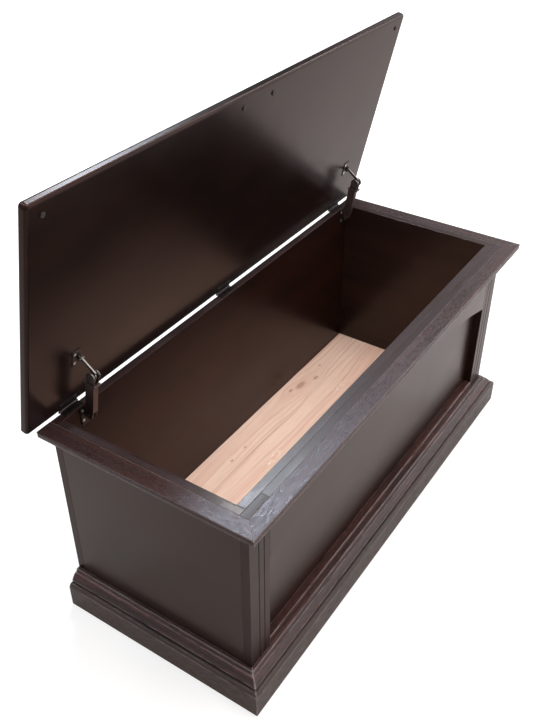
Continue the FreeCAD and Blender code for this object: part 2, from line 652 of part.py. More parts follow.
def all_pieces():
    """Every node's name and solid."""
    pieces = {}
    hinge_into_box = []
    hinge_into_lid = []
    for name, x in zip(HINGE_NAMES, HINGE_X):
        into_box = hinge_box_screws(x)
        into_lid = hinge_lid_screws_shut(x)
        box_leaf = hinge_leaf(x, 0, RIM_HEIGHT, RIM_HEIGHT + LEAF_THICK)
        lid_leaf = hinge_leaf(x, 1, LID_UNDER_Z - LEAF_THICK, LID_UNDER_Z)
        pieces["hinge_" + name + "_case_leaf"] = screw_holes(box_leaf, into_box)
        pieces["hinge_" + name + "_lid_leaf"] = swung(screw_holes(lid_leaf, into_lid))
        places = hinge_screw_places(x)
        hinge_into_box += with_slots(into_box, [Vector(px, py, RIM_HEIGHT + LEAF_THICK) for px, py in places],
                                     (0, 0, -1))
        hinge_into_lid += with_slots(into_lid, [Vector(px, py, LID_UNDER_Z - LEAF_THICK) for px, py in places],
                                     (0, 0, 1))
    pieces["hinge_pins"] = Part.makeCompound([hinge_pin(x) for x in HINGE_X])
    pieces["hinge_screws_in_case"] = Part.makeCompound(hinge_into_box)
    pieces["hinge_screws_in_lid"] = swung(Part.makeCompound(hinge_into_lid))

    support_into_back = []
    support_into_lid = []
    for name, x in SUPPORT_X.items():
        pieces["support_" + name + "_base_bracket"] = base_bracket(x)
        pieces["support_" + name + "_base_rivet"] = base_pin(x)
        pieces["support_" + name + "_spring"] = support_spring(x)
        pieces["support_" + name + "_arm"] = support_arm(x)
        pieces["support_" + name + "_elbow_rivet"] = elbow_pin(x)
        pieces["support_" + name + "_link"] = support_link(x)
        pieces["support_" + name + "_lid_bracket"] = swung(lid_bracket_shut(x))
        pieces["support_" + name + "_lid_rivet"] = swung(lid_pin_shut(x))
        y = INNER_BACK_Y - BRACKET_PLATE
        heads = [Vector(x + dx, y, RIM_HEIGHT + dz) for dx, dz in BRACKET_SCREWS]
        support_into_back += with_slots(base_screws(x), heads, (0, 1, 0))
        z = LID_UNDER_Z - LID_PLATE
        heads = [Vector(x + dx, AXIS_Y - along, z) for dx, along in LID_BRACKET_SCREWS]
        support_into_lid += with_slots(lid_bracket_screws_shut(x), heads, (0, 0, 1))
    pieces["support_screws_in_back"] = Part.makeCompound(support_into_back)
    pieces["support_screws_in_lid"] = swung(Part.makeCompound(support_into_lid))

    into_back = []
    into_lid = []
    for x in HINGE_X:
        into_back += hinge_box_screws(x)
        into_lid += hinge_lid_screws_shut(x)
    for x in SUPPORT_X.values():
        into_back += base_screws(x)
        into_lid += lid_bracket_screws_shut(x)
    pieces["back_panel"] = screw_holes(back_panel(), into_back)
    pieces["lid_panel"] = swung(screw_holes(lid_panel_shut(), into_lid))
    pieces["lid_bumpers"] = swung(Part.makeCompound(bumpers_shut()))

    pieces["left_side_panel"] = side_panel(-1)
    pieces["right_side_panel"] = side_panel(1)
    pieces["inner_front_panel"] = inner_front_panel()
    pieces["front_left_stile"] = front_stile(-1)
    pieces["front_right_stile"] = front_stile(1)
    pieces["front_top_rail"] = front_top_rail()
    pieces["front_bottom_rail"] = front_bottom_rail()
    for name, side in (("front", 0), ("left", -1), ("right", 1)):
        pieces["rim_band_" + name] = moulding(band_section(), side)
        pieces["plinth_" + name] = moulding(plinth_section(), side)
        pieces["base_cap_" + name] = moulding(cap_section(), side)
    for number in range(FLOOR_BOARDS):
        pieces["floor_board_" + str(number + 1)] = floor_board(number)
    for where in ("front", "back", "left", "right"):
        pieces["floor_cleat_" + where] = floor_cleat(where)
    return pieces


os.makedirs("parts", exist_ok=True)
for node, solid in all_pieces().items():
    save(node, solid)
    print(node, len(solid.Solids), "solid(s)", round(solid.Volume / 1000, 2), "cm3",
          "valid" if solid.isValid() else "NOT VALID")
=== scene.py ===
import math

import bpy
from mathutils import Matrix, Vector

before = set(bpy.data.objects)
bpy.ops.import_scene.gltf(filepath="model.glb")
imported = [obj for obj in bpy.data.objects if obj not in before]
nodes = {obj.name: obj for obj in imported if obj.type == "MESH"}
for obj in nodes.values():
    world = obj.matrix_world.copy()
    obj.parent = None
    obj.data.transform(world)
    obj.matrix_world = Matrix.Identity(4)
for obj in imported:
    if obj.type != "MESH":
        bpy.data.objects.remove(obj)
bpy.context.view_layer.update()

MM = 0.001

# ---- the camera: eye in millimetres from the chest's own origin --------------------------
IMAGE_WIDTH = 535
IMAGE_HEIGHT = 727
EYE = Vector((-1372.1, -810.2, 1570.0)) * MM
HEADING = 56.548         # degrees from +Y towards +X
DIP = 36.675             # degrees below the horizon
FOCAL_PIXELS = 875.22
CENTRE_PIXEL = (273.59, 363.84)
SENSOR = 36.0

# ---- light -------------------------------------------------------------------------------
FLOOR_SIZE = 120
FLOOR_DROP = 0.0005      # metres under the chest's feet
FLOOR_SHADE = (0.45, 0.45, 0.45, 1)
FLOOR_ROUGH = 0.9
LIFT_NEAR = 0.62         # what the eye sees on top of the floor's own shade, beside the chest
LIFT_FAR = 1.0           # and out where the floor turns plain white
LIFT_SPAN = (0.9, 2.2)   # metres from the chest
# painted shadow: the floor's glow in gloss is lowest at the plinth and lower on the left-hand side, standing
# for the chest's shadow in its reflections
SHADOWED_GLOSS_NEAR = 0.20        # what gloss sees on top of the floor's own shade, at the plinth,
GLOSS_FAR = 0.37         # and clear of the chest,
SHADOWED_GLOSS_LEFT = 0.74        # and how much of that is left on the left-hand side
GLOSS_SPAN = (0.0, 0.5)  # metres out from the plinth
LEFT_SPAN = (-0.5, -0.8)
HALF_LENGTH = 0.55       # the case's footprint, which those metres are measured from
HALF_DEPTH = 0.24
# painted reflection: the floor is white to the eye but glows warm in gloss
PAINTED_REFLECTION_NEAR = (1.0, 0.75, 0.63, 1)    # the floor's tint in the gloss near the chest,
PAINTED_REFLECTION_FAR = (1.0, 0.70, 0.58, 1)     # and further out
WARM_SPAN = (0.4, 0.9)
AIR_DIM = 0.14           # the room's air, ahead of the eye
CEILING = 0.40           # and what is added overhead,
SIDE_AIR = 0.50          # on the left,
LOW_AIR = 1.00           # and low down on the right
CEILING_SPAN = (0.72, 0.92)          # parts of a direction: up,
SIDE_SPAN = (0.10, -0.50)            # to the left,
LOW_SPAN = (0.52, 0.42)              # down,
FRONT_SPAN = (0.33, 0.28)            # away from the back,
RIGHT_SPAN = (0.0, 0.6)              # and to the right
WHITE = (1, 1, 1)
WHITE_SHADE = (1, 1, 1, 1)
BLACK_SHADE = (0, 0, 0, 1)
DAYLIGHT = (0.70, 0.87, 1.0)
LAMPLIGHT = (1.0, 0.89, 0.86)
LAMPS = {                # place, aim, size in metres, watts, colour
    "window": ((1.65, 1.35, 3.5), (-0.4, -0.2, 0.5), (0.75, 0.8), 74, DAYLIGHT),
    "overhead": ((0.20, -0.70, 3.4), (0, 0, 0.3), (2.2, 2.2), 90, LAMPLIGHT),
    "right_strip": ((2.65, -0.35, 3.3), (0, 0, 0.3), (0.4, 1.6), 40, WHITE),
    "back_strip": ((-0.75, 1.55, 3.4), (-0.4, 0, 0.2), (1.2, 0.5), 28, WHITE),
    "front_right": ((2.50, -3.20, 1.6), (0, -0.2, 0.1), (7.0, 2.8), 96, WHITE),
}

# ---- grain, arrises and crevices -----------------------------------------------------------
GRAIN_LAYERS = {         # waves per metre along, across and through the board, and detail
    "Figure": ((1.6, 9.0, 9.0), 3.0),
    "Streaks": ((4.0, 120.0, 120.0), 4.0),
    "Fibres": ((16.0, 380.0, 380.0), 3.0),
    "Pores": ((70.0, 330.0, 330.0), 4.0),
    "Specks": ((400.0, 640.0, 640.0), 1.0),
}
CLOUD_SCALE = 4.5
CLOUD_NOISE = (3.0, 0.6, 0.6)        # detail, roughness, distortion
SMEAR_SCALE = (5.0, 24.0, 24.0)
SMEAR_NOISE = (4.0, 0.6, 0.4)
CLOSENESS_SAMPLES = 8
CREVICE_REACH = 0.006
CREVICE_SPAN = (0.34, 0.60)
BEVEL_SAMPLES = 4
ARRIS_REACH = 1.5        # times the arris's own radius
ARRIS_SPAN = (0.03, 0.15)
TURNED_SPAN = (0.995, 0.94)          # cosines between the face and its softened normal
KNOT_RIM = (1.0, 0.45)
KNOT_PUSH_SPAN = (4.0, 0.0)
KNOT_PUSH = -0.75
STAVE_LENGTH = 0.058
STAVE_WIDTH = 0.013
STAVE_STEP = 0.37        # how far each row of staves is slid along
STAVE_JOINT = 0.0003
TOP_SPAN = (0.80, 0.95)  # how far up a face has to look to count as a top edge
TURN_TO_X = {"x": (0, 0, 0), "y": (0, 0, math.radians(-90)), "z": (0, math.radians(90), 0)}
FIGURE_SHARE = 0.5       # of the stain; the smears have the rest
FIGURE_SPAN = (0.40, 0.62)
STREAK_SPAN = (0.48, 0.68)
PORE_SPAN = (0.42, 0.62)
MATT_SPAN = (0.40, 0.62)
CLOUD_SPAN = (0.35, 0.65)
CHIP_SCALE = (28.0, 90.0, 90.0)
CHIP_SPAN = (0.30, 0.52)
# painted shade laid into crevices, recesses and inner corners, and how much of it
CREVICE_SHADE_SHARE = 0.85
CREVICE_PAINTED_SHADE = (0.0040, 0.0030, 0.0030, 1)
GLOSS_SPREAD = 0.03
STAVE_GLOSS = (0.36, 0.25)           # roughness of a plain stave and of an odd one
STAVE_COVER = 0.8
DULL_STAVES = (0.04, 0.16, 0.0, 0.35)    # from a stave's tone to how far it stands out
PALE_STAVES = (0.80, 0.90, 0.0, 0.40)
FLECK_SPAN = (0.52, 0.66)
FLECK_GLOSS = 0.20
RELIEF_DEPTH = 0.001

# ---- planed boards, metal and rubber --------------------------------------------------------
WAVER_SCALE = (1.6, 6.0, 6.0)
WAVER = 0.07             # metres that the grain wanders sideways
NOISE_MIDDLE = 0.5
SOFT_NOISE = (2.0, 0.5)  # detail, roughness
BAND_SCALE = (0.7, 30.0, 6.0)
RING_SCALE = (1.2, 95.0, 10.0)
RING_NOISE = (3.0, 0.6)
BAND_SPAN = (0.38, 0.60)
RING_SPAN = (0.50, 0.68)
RING_COVER = 0.60
FIBRE_SPAN = (0.50, 0.75)
FIBRE_COVER = 0.35
MIDDLE_SPAN = (0.35, 0.65)
WIDE_SPAN = (0.3, 0.7)
KNOT_COVER = 0.6
TEAR_SCALE = (60.0, 260.0, 10.0)
TEAR_DETAIL = 2.0
TEAR_SPAN = (0.53, 0.60)
BOARD_ARRIS = 0.001
BOARD_WEAR = 0.6
BOARD_GLOSS = (0.52, 0.66)
FIBRE_RELIEF = 0.3
FIBRE_DEPTH = 0.0004
METAL_ARRIS = 0.0005
METAL_WEAR = 0.5
BRIGHT_GAIN = 1.8        # a worn metal arris against the metal beside it
BRIGHT_LIFT = 0.06
METAL_SPREAD = 0.1
MOTTLE = 0.3
MOTTLE_SCALE = 260.0
DUST_SCALE = 900.0
RUBBER_BLACK = (0.010, 0.010, 0.010, 1)
RUBBER_DUST = (0.030, 0.028, 0.027, 1)
RUBBER_ROUGH = 0.6


def deselect_all():
    for chosen in list(bpy.context.selected_objects):
        chosen.select_set(False)


# ---- node helpers --------------------------------------------------------------------------
MIX_INPUTS = (0, 6, 7)   # the mix node's factor and two colours,
MIX_OUTPUT = 2           # and its mixed colour


def new_group(name, inputs, outputs):
    """A shader node group with its named sockets: (name, type, default)."""
    group = bpy.data.node_groups.new(name, "ShaderNodeTree")
    for label, kind, value in inputs:
        socket = group.interface.new_socket(name=label, in_out="INPUT", socket_type=kind)
        if value is not None:
            socket.default_value = value
    for label, kind in outputs:
        group.interface.new_socket(name=label, in_out="OUTPUT", socket_type=kind)
    return group, group.nodes.new("NodeGroupInput"), group.nodes.new("NodeGroupOutput")


def joined(tree, start, end):
    tree.links.new(start, end)


def feed(tree, slot, value):
    """Give a socket either another socket or a plain value."""
    if isinstance(value, bpy.types.NodeSocket):
        joined(tree, value, slot)
    else:
        slot.default_value = value


def blend_of(tree, factor, first, second):
    """A colour mix; each argument is a socket or a plain value."""
    mix = tree.nodes.new("ShaderNodeMix")
    mix.data_type = "RGBA"
    for slot, value in zip(MIX_INPUTS, (factor, first, second)):
        feed(tree, mix.inputs[slot], value)
    return mix.outputs[MIX_OUTPUT]


def sum_of(tree, operation, *values):
    """A math node; each value is a socket or a number."""
    made = tree.nodes.new("ShaderNodeMath")
    made.operation = operation
    for slot, value in zip(made.inputs, values):
        feed(tree, slot, value)
    return made.outputs[0]


def times(tree, first, second):
    return sum_of(tree, "MULTIPLY", first, second)


def rest_of(tree, value):
    """One less a value."""
    return sum_of(tree, "SUBTRACT", 1.0, value)


def span_of(tree, value, low, high, to_low=0.0, to_high=1.0):
    """A value stretched from one span to another and held inside it."""
    made = tree.nodes.new("ShaderNodeMapRange")
    for slot, given in zip(made.inputs, (value, low, high, to_low, to_high)):
        feed(tree, slot, given)
    return made.outputs[0]


def noise_of(tree, place, scale, detail=3.0, rough=0.55, twist=0.0):
    made = tree.nodes.new("ShaderNodeTexNoise")
    made.inputs["Scale"].default_value = scale
    made.inputs["Detail"].default_value = detail
    made.inputs["Roughness"].default_value = rough
    made.inputs["Distortion"].default_value = twist
    joined(tree, place, made.inputs["Vector"])
    return made.outputs[0]


def vector_of(tree, operation, *values, output="Vector"):
    """A vector math node; each value is a socket or three numbers."""
    made = tree.nodes.new("ShaderNodeVectorMath")
    made.operation = operation
    for slot, value in zip(made.inputs, values):
        feed(tree, slot, value)
    return made.outputs[output]


def parts_of(tree, vector):
    """The X, Y and Z outputs of a vector."""
    made = tree.nodes.new("ShaderNodeSeparateXYZ")
    joined(tree, vector, made.inputs[0])
    return made.outputs


def stretched_noise(tree, place, scale, *settings):
    """Noise with a different scale each way."""
    return noise_of(tree, vector_of(tree, "MULTIPLY", place, scale), 1.0, *settings)


# ---- effects that several finishes share -----------------------------------------------------
def make_grain_group():
    """Wood along X: broad figure, streaks, fine fibres, open pores and specks."""
    group, source, sink = new_group("long_grain", [("Place", "NodeSocketVector", None)],
                                    [(label, "NodeSocketFloat") for label in GRAIN_LAYERS])
    place = source.outputs["Place"]
    for label, (scale, detail) in GRAIN_LAYERS.items():
        joined(group, stretched_noise(group, place, scale, detail), sink.inputs[label])
    return group


def make_cloud_group():
    """Soft uneven patches left by a rubbed-on finish."""
    group, source, sink = new_group("rubbed_clouds", [("Place", "NodeSocketVector", None)],
                                    [("Clouds", "NodeSocketFloat"), ("Smears", "NodeSocketFloat")])
    place = source.outputs["Place"]
    joined(group, noise_of(group, place, CLOUD_SCALE, *CLOUD_NOISE), sink.inputs["Clouds"])
    joined(group, stretched_noise(group, place, SMEAR_SCALE, *SMEAR_NOISE), sink.inputs["Smears"])
    return group


def closeness(group, distance, inside):
    """0 where the space on one side of a surface is open, 1 where it is shut in."""
    made = group.nodes.new("ShaderNodeAmbientOcclusion")
    made.samples = CLOSENESS_SAMPLES
    made.inside = inside
    made.only_local = inside
    feed(group, made.inputs["Distance"], distance)
    return rest_of(group, made.outputs["AO"])


def make_edge_group():
    """How near a sharp arris is, how deep a crevice is, and the arris softened."""
    group, source, sink = new_group(
        "arris_rub_highlight_and_crevice", [("Radius", "NodeSocketFloat", 0.0015)],
        [("Mask", "NodeSocketFloat"), ("Crevice", "NodeSocketFloat"), ("Soft Normal", "NodeSocketVector")])
    radius = source.outputs["Radius"]
    outward = closeness(group, times(group, radius, ARRIS_REACH), True)
    shut = span_of(group, closeness(group, CREVICE_REACH, False), *CREVICE_SPAN)
    joined(group, shut, sink.inputs["Crevice"])
    bevel = group.nodes.new("ShaderNodeBevel")
    bevel.samples = BEVEL_SAMPLES
    joined(group, radius, bevel.inputs["Radius"])
    joined(group, bevel.outputs[0], sink.inputs["Soft Normal"])
    face = group.nodes.new("ShaderNodeNewGeometry").outputs["Normal"]
    cosine = vector_of(group, "DOT_PRODUCT", bevel.outputs[0], face, output="Value")
    sharp = times(group, span_of(group, cosine, *TURNED_SPAN), span_of(group, outward, *ARRIS_SPAN))
    joined(group, times(group, sharp, rest_of(group, shut)), sink.inputs["Mask"])
    return group


def make_knot_group():
    """One knot: how dark it is, and how far the grain beside it is pushed aside."""
    group, source, sink = new_group(
        "cedar_knot",
        [("Place", "NodeSocketVector", None), ("Centre", "NodeSocketVector", (0, 0, 0)),
         ("Spread", "NodeSocketVector", (100, 200, 0))],
        [("Dark", "NodeSocketFloat"), ("Push", "NodeSocketFloat")])
    away = vector_of(group, "SUBTRACT", source.outputs["Place"], source.outputs["Centre"])
    scaled = vector_of(group, "MULTIPLY", away, source.outputs["Spread"])
    length = vector_of(group, "LENGTH", scaled, output="Value")
    joined(group, span_of(group, length, *KNOT_RIM), sink.inputs["Dark"])
    fade = span_of(group, length, *KNOT_PUSH_SPAN, 0.0, KNOT_PUSH)
    joined(group, times(group, parts_of(group, away)["Y"], fade), sink.inputs["Push"])
    return group


def make_stave_group():
    """The short glued staves that show on a sheet's top edge."""
    group, source, sink = new_group("glued_staves", [("Place", "NodeSocketVector", None)],
                                    [("Tone", "NodeSocketFloat"), ("Top", "NodeSocketFloat")])
    bricks = group.nodes.new("ShaderNodeTexBrick")
    bricks.offset = STAVE_STEP
    bricks.inputs["Color1"].default_value = BLACK_SHADE
    bricks.inputs["Color2"].default_value = WHITE_SHADE
    bricks.inputs["Mortar"].default_value = BLACK_SHADE
    bricks.inputs["Scale"].default_value = 1.0
    bricks.inputs["Mortar Size"].default_value = STAVE_JOINT
    bricks.inputs["Brick Width"].default_value = STAVE_LENGTH
    bricks.inputs["Row Height"].default_value = STAVE_WIDTH
    joined(group, source.outputs["Place"], bricks.inputs["Vector"])
    joined(group, bricks.outputs["Color"], sink.inputs["Tone"])
    normal = group.nodes.new("ShaderNodeTexCoord").outputs["Normal"]
    joined(group, span_of(group, parts_of(group, normal)["Z"], *TOP_SPAN), sink.inputs["Top"])
    return group


GRAIN = make_grain_group()
STAVES = make_stave_group()
CLOUDS = make_cloud_group()
EDGE = make_edge_group()
KNOT = make_knot_group()


# ---- finishes ------------------------------------------------------------------------------
def new_material(name):
    made = bpy.data.materials.new(name)
    made.use_nodes = True
    return made, made.node_tree, made.node_tree.nodes["Principled BSDF"]


def object_place(tree):
    return tree.nodes.new("ShaderNodeTexCoord").outputs["Object"]


def grain_place(tree, along, shift):
    """Object coordinates turned so that the board's length lies on X, and slid by its own shift."""
    turn = tree.nodes.new("ShaderNodeMapping")
    turn.inputs["Location"].default_value = shift
    turn.inputs["Rotation"].default_value = TURN_TO_X[along]
    joined(tree, object_place(tree), turn.inputs["Vector"])
    return turn.outputs[0]


def group_in(tree, group, **values):
    """A shared group put into a material; returns its outputs."""
    made = tree.nodes.new("ShaderNodeGroup")
    made.node_tree = group
    for key, value in values.items():
        feed(tree, made.inputs[key], value)
    return made.outputs


def bump_of(tree, height, strength, depth, under=None):
    bump = tree.nodes.new("ShaderNodeBump")
    feed(tree, bump.inputs["Strength"], strength)
    bump.inputs["Distance"].default_value = depth
    joined(tree, height, bump.inputs["Height"])
    if under is not None:
        joined(tree, under, bump.inputs["Normal"])
    return bump.outputs[0]


def stain_of(tree, grain, smears, look):
    """The stain's own colour: figure and smears, then streaks, then open pores."""
    figure = sum_of(tree, "ADD", times(tree, grain["Figure"], FIGURE_SHARE),
                    times(tree, smears, 1 - FIGURE_SHARE))
    base = blend_of(tree, span_of(tree, figure, *FIGURE_SPAN), look["deep"], look["warm"])
    streaks = span_of(tree, grain["Streaks"], *STREAK_SPAN, 0.0, look["streaky"])
    pores = span_of(tree, grain["Pores"], *PORE_SPAN, 0.0, look["streaky"])
    return blend_of(tree, pores, blend_of(tree, streaks, base, look["streak"]), look["fibre"])


def stained_wood(name, along, shift, look):
    """Dark espresso stain under a satin lacquer."""
    made, tree, skin = new_material(name)
    place = grain_place(tree, along, shift)
    grain = group_in(tree, GRAIN, Place=place)
    cloud = group_in(tree, CLOUDS, Place=place)
    edge = group_in(tree, EDGE, Radius=look["arris"])
    colour = stain_of(tree, grain, cloud["Smears"], look)
    rough = span_of(tree, cloud["Clouds"], *CLOUD_SPAN,
                    look["gloss"] - GLOSS_SPREAD, look["gloss"] + GLOSS_SPREAD)
    flecked = look["flecked"]
    relief = grain["Specks" if flecked else "Pores"]
    open_grain = look["open_grain"]
    if look["staved"]:
        stave = group_in(tree, STAVES, Place=place)
        top = stave["Top"]
        flecked = times(tree, top, flecked)
        relief = span_of(tree, top, 0.0, 1.0, grain["Pores"], grain["Specks"])
        open_grain = span_of(tree, top, 0.0, 1.0, open_grain, look["top_grain"])
        odd = sum_of(tree, "ADD", span_of(tree, stave["Tone"], *DULL_STAVES),
                     span_of(tree, stave["Tone"], *PALE_STAVES))
        toned = blend_of(tree, odd, look["stave_deep"], look["stave_pale"])
        colour = blend_of(tree, times(tree, top, STAVE_COVER), colour, toned)
        rough = sum_of(tree, "ADD", times(tree, rough, rest_of(tree, top)),
                       times(tree, span_of(tree, odd, 0.0, 1.0, *STAVE_GLOSS), top))
    if look["flecked"]:
        flecks = times(tree, span_of(tree, grain["Specks"], *FLECK_SPAN), flecked)
        colour = blend_of(tree, flecks, colour, look["fleck"])
        rough = sum_of(tree, "SUBTRACT", rough, times(tree, flecks, FLECK_GLOSS))
    # pale arrises: partly real wear, partly a painted highlight standing in for the gloss on rounded arrises
    chips = span_of(tree, stretched_noise(tree, place, CHIP_SCALE), *CHIP_SPAN)
    rubbed_and_highlight_share = times(tree, times(tree, edge["Mask"], chips), look["rubbed_and_highlight_share"])
    worn = blend_of(tree, rubbed_and_highlight_share, colour, look["rubbed_and_highlight_arris"])
    # painted shade: crevices, recesses and inner corners are darkened towards near black
    crevice = times(tree, edge["Crevice"], CREVICE_SHADE_SHARE)
    joined(tree, blend_of(tree, crevice, worn, CREVICE_PAINTED_SHADE), skin.inputs["Base Color"])
    pored = sum_of(tree, "ADD", rough, span_of(tree, grain["Pores"], *MATT_SPAN, 0.0, look["pore_matt"]))
    joined(tree, sum_of(tree, "MAXIMUM", pored, crevice), skin.inputs["Roughness"])
    joined(tree, bump_of(tree, relief, open_grain, RELIEF_DEPTH, edge["Soft Normal"]), skin.inputs["Normal"])
    skin.inputs["IOR"].default_value = look["ior"]
    skin.inputs["Specular Tint"].default_value = look["tint"]
    return made


def planed_board(name, along, shift, shades, knots=(), swirls=(), torn=()):
    """Bare planed softwood: soft bands, rings, fibres, small knots and torn pale fibres."""
    made, tree, skin = new_material(name)
    here = object_place(tree)
    place = grain_place(tree, along, shift)
    fibres = group_in(tree, GRAIN, Place=place)["Fibres"]

    def knot_at(centre, spread):
        return group_in(tree, KNOT, Place=here, Centre=centre, Spread=spread)

    waver = stretched_noise(tree, place, WAVER_SCALE, *SOFT_NOISE)
    push = times(tree, sum_of(tree, "SUBTRACT", waver, NOISE_MIDDLE), WAVER)
    dark = None
    for centre, spread in knots:
        knot = knot_at(centre, spread)
        push = sum_of(tree, "ADD", push, knot["Push"])
        dark = knot["Dark"] if dark is None else sum_of(tree, "MAXIMUM", dark, knot["Dark"])
    for centre, spread in swirls:
        push = sum_of(tree, "ADD", push, knot_at(centre, spread)["Push"])
    shove = tree.nodes.new("ShaderNodeCombineXYZ")
    joined(tree, push, shove.inputs["Y"])
    bent = vector_of(tree, "ADD", place, shove.outputs[0])
    bands = stretched_noise(tree, bent, BAND_SCALE, *SOFT_NOISE)
    rings = stretched_noise(tree, bent, RING_SCALE, *RING_NOISE)
    colour = blend_of(tree, span_of(tree, bands, *BAND_SPAN), shades["band"], shades["pale"])
    colour = blend_of(tree, span_of(tree, rings, *RING_SPAN, 0.0, RING_COVER), colour, shades["ring"])
    colour = blend_of(tree, span_of(tree, fibres, *FIBRE_SPAN, 0.0, FIBRE_COVER), colour, shades["ring"])
    if dark is not None:
        colour = blend_of(tree, times(tree, dark, KNOT_COVER), colour, shades["knot"])
    for centre, spread in torn:
        tear = stretched_noise(tree, place, TEAR_SCALE, TEAR_DETAIL)
        torn_here = times(tree, knot_at(centre, spread)["Dark"], span_of(tree, tear, *TEAR_SPAN))
        colour = blend_of(tree, torn_here, colour, shades["edge"])
    mask = group_in(tree, EDGE, Radius=BOARD_ARRIS)["Mask"]
    joined(tree, blend_of(tree, times(tree, mask, BOARD_WEAR), colour, shades["edge"]),
           skin.inputs["Base Color"])
    joined(tree, span_of(tree, rings, *MIDDLE_SPAN, *BOARD_GLOSS), skin.inputs["Roughness"])
    joined(tree, bump_of(tree, fibres, FIBRE_RELIEF, FIBRE_DEPTH), skin.inputs["Normal"])
    return made


def metal(name, colour, rough):
    """Plated or bronzed metal with faint mottling and bright arrises."""
    made, tree, skin = new_material(name)
    edge = group_in(tree, EDGE, Radius=METAL_ARRIS)
    patches = noise_of(tree, object_place(tree), MOTTLE_SCALE)
    dark = tuple(c * (1 - MOTTLE) for c in colour) + (1,)
    light = tuple(min(1, c * BRIGHT_GAIN + BRIGHT_LIFT) for c in colour) + (1,)
    base = blend_of(tree, span_of(tree, patches, *MIDDLE_SPAN), dark, colour + (1,))
    joined(tree, blend_of(tree, times(tree, edge["Mask"], METAL_WEAR), base, light),
           skin.inputs["Base Color"])
    joined(tree, span_of(tree, patches, *WIDE_SPAN, rough, rough + METAL_SPREAD), skin.inputs["Roughness"])
    skin.inputs["Metallic"].default_value = 1.0
    joined(tree, edge["Soft Normal"], skin.inputs["Normal"])
    return made


def rubber(name):
    """Black rubber with a little dust in it."""
    made, tree, skin = new_material(name)
    dust = noise_of(tree, object_place(tree), DUST_SCALE)
    joined(tree, blend_of(tree, dust, RUBBER_BLACK, RUBBER_DUST), skin.inputs["Base Color"])
    skin.inputs["Roughness"].default_value = RUBBER_ROUGH
    return made


def finish_node(name, material):
    """Gives a carried-over piece its finish."""
    data = nodes[name].data
    data.materials.clear()
    data.materials.append(material)


# ---- the finish of each piece ------------------------------------------------------------
SOLID = {"deep": (0.0200, 0.0115, 0.0110, 1), "warm": (0.0450, 0.0210, 0.0175, 1),
         "streak": (0.0850, 0.0360, 0.0290, 1), "fibre": (0.0120, 0.0080, 0.0080, 1),
         "fleck": (0.0900, 0.0560, 0.0520, 1), "flecked": 0.0,
         "rubbed_and_highlight_arris": (0.3000, 0.2300, 0.2200, 1), "rubbed_and_highlight_share": 0.75, "arris": 0.0020, "staved": False,
         "streaky": 0.55, "gloss": 0.36, "pore_matt": 0.16, "open_grain": 0.55, "ior": 1.5,
         "tint": (1.0, 0.97, 1.0, 1)}
RIM = dict(SOLID, deep=(0.0130, 0.0080, 0.0080, 1), warm=(0.0290, 0.0140, 0.0120, 1), streaky=0.40,
           flecked=0.50, gloss=0.26, open_grain=0.40, tint=(1.0, 0.90, 0.95, 1))
# the mouldings' pale arrises are partly wear and partly a painted highlight
MOULDING = dict(SOLID, deep=(0.0120, 0.0065, 0.0065, 1), warm=(0.0360, 0.0150, 0.0125, 1),
                streak=(0.0950, 0.0340, 0.0265, 1), streaky=0.80, gloss=0.34, arris=0.0030, rubbed_and_highlight_share=0.9,
                tint=(1.0, 0.86, 0.88, 1), rubbed_and_highlight_arris=(0.4600, 0.3900, 0.3900, 1))
PLINTH = dict(MOULDING, streak=(0.0500, 0.0260, 0.0220, 1), streaky=0.45, rubbed_and_highlight_share=0.6,
              tint=(1.0, 0.95, 0.92, 1))
LOW_RAIL = dict(MOULDING, deep=(0.0260, 0.0100, 0.0090, 1), warm=(0.0900, 0.0310, 0.0235, 1),
                gloss=0.40, ior=1.33)
SHEET = {"deep": (0.0052, 0.0035, 0.0034, 1), "warm": (0.0120, 0.0057, 0.0046, 1),
         "streak": (0.0200, 0.0084, 0.0060, 1), "fibre": (0.0048, 0.0033, 0.0031, 1),
         "fleck": (0.0300, 0.0150, 0.0120, 1), "flecked": 0.0,
         "rubbed_and_highlight_arris": (0.0900, 0.0530, 0.0430, 1), "rubbed_and_highlight_share": 0.5, "arris": 0.0012, "staved": False,
         "streaky": 0.15, "gloss": 0.24, "pore_matt": 0.0, "open_grain": 0.005, "ior": 1.33,
         "tint": (0.88, 0.50, 0.42, 1)}
WALL = dict(SHEET, deep=(0.0085, 0.0045, 0.0038, 1), warm=(0.0240, 0.0075, 0.0050, 1), staved=True,
            fleck=(0.0600, 0.0320, 0.0280, 1), flecked=0.40, top_grain=0.16,
            stave_deep=(0.0150, 0.0085, 0.0085, 1), stave_pale=(0.0520, 0.0420, 0.0470, 1))
SIDE_WALL = dict(WALL, deep=(0.0150, 0.0085, 0.0074, 1), warm=(0.0270, 0.0125, 0.0104, 1), ior=1.42,
                 tint=(0.85, 0.66, 0.56, 1))
FACE_WALL = dict(WALL, tint=(0.93, 0.80, 0.76, 1), ior=1.5)
FRAME = dict(FACE_WALL, streaky=0.25, ior=1.45)
STILE = dict(FRAME, gloss=0.30, ior=1.35)
WOOD = {                 # piece: which way its grain runs, and its look
    "lid_panel": ("x", SHEET),
    "back_panel": ("x", WALL),
    "inner_front_panel": ("x", FACE_WALL),
    "left_side_panel": ("y", SIDE_WALL),
    "right_side_panel": ("y", SIDE_WALL),
    "front_left_stile": ("z", STILE),
    "front_right_stile": ("z", STILE),
    "front_top_rail": ("x", FRAME),
    "front_bottom_rail": ("x", LOW_RAIL),
}
for run, look in (("rim_band", RIM), ("plinth", PLINTH), ("base_cap", MOULDING)):
    for side, along in (("front", "x"), ("left", "y"), ("right", "y")):
        WOOD[run + "_" + side] = (along, look)
